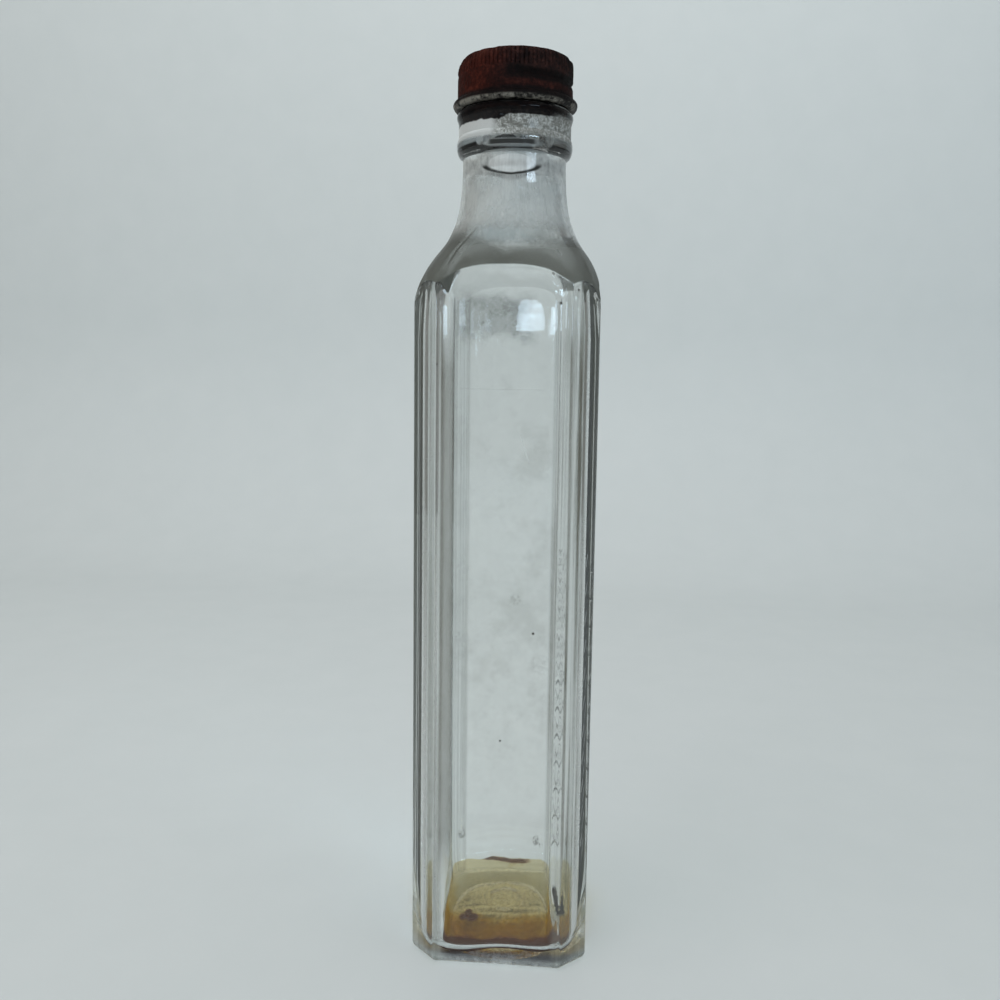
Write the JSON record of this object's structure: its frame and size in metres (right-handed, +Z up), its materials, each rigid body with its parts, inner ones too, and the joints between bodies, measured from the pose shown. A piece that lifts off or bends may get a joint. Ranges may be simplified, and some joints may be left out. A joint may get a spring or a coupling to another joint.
{
  "type": "glass bottle",
  "caption": "Empty square glass bottle with cut corners, arched sunk panels and one embossed side, closed by a rusty steel screw cap, with dried residue on its floor.",
  "frame": {"origin": "middle of the base, in the plane the bottle stands on", "axes": "+Z up along the bottle to the cap; -Y out of the plain front panel; +X out of the embossed side panel"},
  "size_m": [0.0454, 0.0454, 0.229],
  "materials": {
    "clear_glass": "gloss, faintly grey-green, with small seeds and a dusty haze at the neck",
    "rusty_steel": "matt dark rust",
    "dried_residue": "dried amber film, darker where it is thick"
  },
  "bodies": {
    "root": {"bottle": "clear_glass", "cap": "rusty_steel", "residue": "dried_residue"}
  },
  "joints": []
}
